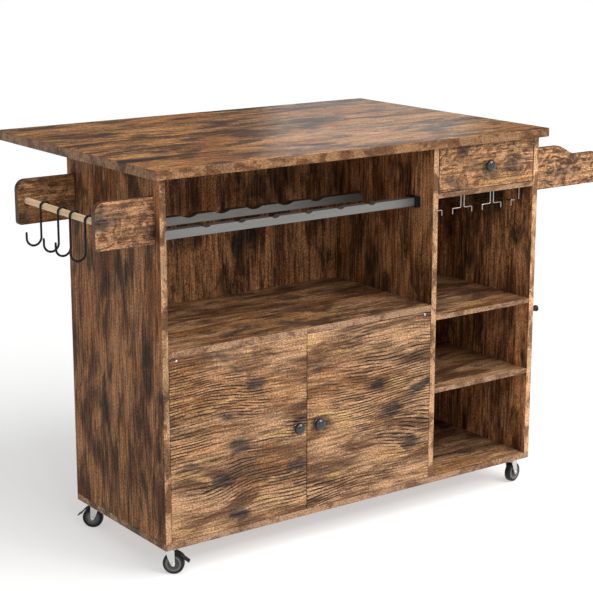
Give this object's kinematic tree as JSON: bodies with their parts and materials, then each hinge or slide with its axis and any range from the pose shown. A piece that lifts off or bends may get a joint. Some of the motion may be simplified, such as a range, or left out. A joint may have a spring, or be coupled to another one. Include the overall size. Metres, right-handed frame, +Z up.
{
  "type": "bar cart on wheels",
  "caption": "Kitchen bar cart on casters with a drop leaf, inset doors, drawer, open bays, bottle rails, stemware rack, towel bar with hooks and side tray.",
  "frame": {"origin": "centre of the whole cart on the floor, with the leaf raised", "axes": "+X along the length to the side with the tray, +Y to the back where the leaf is, +Z up"},
  "size_m": [1.4508, 0.7452, 0.9008],
  "materials": {
    "cabinet_wood": "rustic brown foil with a satin face",
    "top_wood": "rustic brown, satin gloss",
    "door_wood": "rustic brown with fine saw lines",
    "drawer_wood": "rustic golden brown, figured",
    "rack_wood": "rustic golden brown, figured",
    "pale_wood": "plain pale dowel",
    "rail_metal": "satin",
    "rack_wire": "bright",
    "caster_chrome": "bright",
    "bracket_steel": "zinc plated",
    "hook_metal": "black, satin",
    "black_plastic": "black, matt",
    "knob_black": "black, high gloss",
    "wheel_black": "black tread on a grey-black web"
  },
  "bodies": {
    "cabinet": {"bottom_board": "cabinet_wood", "side_panel_left": "cabinet_wood", "side_panel_right": "cabinet_wood", "partition": "cabinet_wood", "cabinet_shelf": "cabinet_wood", "bay_shelf_lower": "cabinet_wood", "bay_shelf_upper": "cabinet_wood", "drawer_support": "cabinet_wood", "back_panel": "cabinet_wood", "back_rail": "cabinet_wood", "top_board": "top_wood", "bracket_leg_left": "bracket_steel", "bracket_leg_right": "bracket_steel", "wine_rail_front": "rail_metal", "wine_rail_rear": "rail_metal", "rail_socket_left": "black_plastic", "rail_socket_right": "black_plastic", "glass_rack": "rack_wire", "towel_bracket_front": "cabinet_wood", "towel_bracket_rear": "cabinet_wood", "towel_bar": "pale_wood", "spice_rack_end_front": "rack_wood", "spice_rack_end_rear": "rack_wood", "spice_rack_floor": "rack_wood", "spice_rack_lip": "rack_wood", "side_peg": "black_plastic", "caster_plate_front_left": "caster_chrome", "caster_plate_front_right": "caster_chrome", "caster_plate_rear_left": "caster_chrome", "caster_plate_rear_right": "caster_chrome"},
    "door_left": {"door_left": "door_wood", "door_knob_left": "knob_black"},
    "door_right": {"door_right": "door_wood", "door_knob_right": "knob_black"},
    "drawer": {"drawer_front": "drawer_wood", "drawer_side_left": "cabinet_wood", "drawer_side_right": "cabinet_wood", "drawer_back": "cabinet_wood", "drawer_bottom": "cabinet_wood", "drawer_knob": "knob_black"},
    "leaf": {"drop_leaf": "top_wood", "bracket_arm_left": "bracket_steel", "bracket_arm_right": "bracket_steel"},
    "stay_left": {"bracket_stay_left": "bracket_steel"},
    "stay_right": {"bracket_stay_right": "bracket_steel"},
    "hook_1": {"hook_1": "hook_metal"},
    "hook_2": {"hook_2": "hook_metal"},
    "hook_3": {"hook_3": "hook_metal"},
    "hook_4": {"hook_4": "hook_metal"},
    "swivel_front_left": {"caster_fork_front_left": "caster_chrome"},
    "wheel_front_left": {"caster_wheel_front_left": "wheel_black"},
    "brake_front_left": {"brake_lever_front_left": "black_plastic"},
    "swivel_front_right": {"caster_fork_front_right": "caster_chrome"},
    "wheel_front_right": {"caster_wheel_front_right": "wheel_black"},
    "swivel_rear_left": {"caster_fork_rear_left": "caster_chrome"},
    "wheel_rear_left": {"caster_wheel_rear_left": "wheel_black"},
    "brake_rear_left": {"brake_lever_rear_left": "black_plastic"},
    "swivel_rear_right": {"caster_fork_rear_right": "caster_chrome"},
    "wheel_rear_right": {"caster_wheel_rear_right": "wheel_black"}
  },
  "joints": [
    {"name": "door_left_hinge", "type": "hinge", "parent": "cabinet", "child": "door_left", "pos_m": [-0.53685, -0.34935, 0.2875], "axis": [0, 0, -1], "range_deg": [0, 110]},
    {"name": "door_right_hinge", "type": "hinge", "parent": "cabinet", "child": "door_right", "pos_m": [0.16655, -0.34935, 0.2875], "axis": [0, 0, 1], "range_deg": [0, 110]},
    {"name": "drawer_slide", "type": "slide", "parent": "cabinet", "child": "drawer", "axis": [0, -1, 0], "range_m": [0, 0.25]},
    {"name": "leaf_hinge", "type": "hinge", "parent": "cabinet", "child": "leaf", "pos_m": [-0.02765, 0.05265, 0.8768], "axis": [-1, 0, 0], "range_deg": [0, 90]},
    {"name": "stay_left_fold", "type": "hinge", "parent": "leaf", "child": "stay_left", "pos_m": [-0.35585, 0.24265, 0.8748], "axis": [1, 0, 0], "range_deg": [0, 150]},
    {"name": "stay_right_fold", "type": "hinge", "parent": "leaf", "child": "stay_right", "pos_m": [0.30915, 0.24265, 0.8748], "axis": [1, 0, 0], "range_deg": [0, 150]},
    {"name": "hook_1_swing", "type": "hinge", "parent": "cabinet", "child": "hook_1", "pos_m": [-0.67785, -0.26735, 0.794], "axis": [0, 1, 0], "range_deg": [-40, 50]},
    {"name": "hook_2_swing", "type": "hinge", "parent": "cabinet", "child": "hook_2", "pos_m": [-0.67785, -0.20235, 0.794], "axis": [0, 1, 0], "range_deg": [-40, 50]},
    {"name": "hook_3_swing", "type": "hinge", "parent": "cabinet", "child": "hook_3", "pos_m": [-0.67785, -0.14935, 0.794], "axis": [0, 1, 0], "range_deg": [-40, 50]},
    {"name": "hook_4_swing", "type": "hinge", "parent": "cabinet", "child": "hook_4", "pos_m": [-0.67785, -0.06985, 0.794], "axis": [0, 1, 0], "range_deg": [-40, 50]},
    {"name": "swivel_front_left_turn", "type": "hinge", "parent": "cabinet", "child": "swivel_front_left", "pos_m": [-0.53085, -0.32235, 0.063], "axis": [0, 0, 1], "continuous": true},
    {"name": "wheel_front_left_roll", "type": "hinge", "parent": "swivel_front_left", "child": "wheel_front_left", "pos_m": [-0.52632, -0.32629, 0.024], "axis": [0.6561, 0.7547, 0], "continuous": true},
    {"name": "brake_front_left_press", "type": "hinge", "parent": "swivel_front_left", "child": "brake_front_left", "pos_m": [-0.52205, -0.33, 0.05061], "axis": [0.6561, 0.7547, 0], "range_deg": [0, 4]},
    {"name": "swivel_front_right_turn", "type": "hinge", "parent": "cabinet", "child": "swivel_front_right", "pos_m": [0.47555, -0.32235, 0.063], "axis": [0, 0, 1], "continuous": true},
    {"name": "wheel_front_right_roll", "type": "hinge", "parent": "swivel_front_right", "child": "wheel_front_right", "pos_m": [0.4814, -0.321, 0.024], "axis": [-0.225, 0.9744, 0], "continuous": true},
    {"name": "swivel_rear_left_turn", "type": "hinge", "parent": "cabinet", "child": "swivel_rear_left", "pos_m": [-0.53085, 0.01565, 0.063], "axis": [0, 0, 1], "continuous": true},
    {"name": "wheel_rear_left_roll", "type": "hinge", "parent": "swivel_rear_left", "child": "wheel_rear_left", "pos_m": [-0.53545, 0.01951, 0.024], "axis": [-0.6428, -0.766, 0], "continuous": true},
    {"name": "brake_rear_left_press", "type": "hinge", "parent": "swivel_rear_left", "child": "brake_rear_left", "pos_m": [-0.53978, 0.02314, 0.05061], "axis": [-0.6428, -0.766, 0], "range_deg": [0, 4]},
    {"name": "swivel_rear_right_turn", "type": "hinge", "parent": "cabinet", "child": "swivel_rear_right", "pos_m": [0.47555, 0.01565, 0.063], "axis": [0, 0, 1], "continuous": true},
    {"name": "wheel_rear_right_roll", "type": "hinge", "parent": "swivel_rear_right", "child": "wheel_rear_right", "pos_m": [0.48099, 0.01819, 0.024], "axis": [-0.4226, 0.9063, 0], "continuous": true}
  ],
  "couplings": [
    {"joint": "stay_left_fold", "follows": "leaf_hinge", "ratio": 1.6667},
    {"joint": "stay_right_fold", "follows": "leaf_hinge", "ratio": 1.6667}
  ]
}
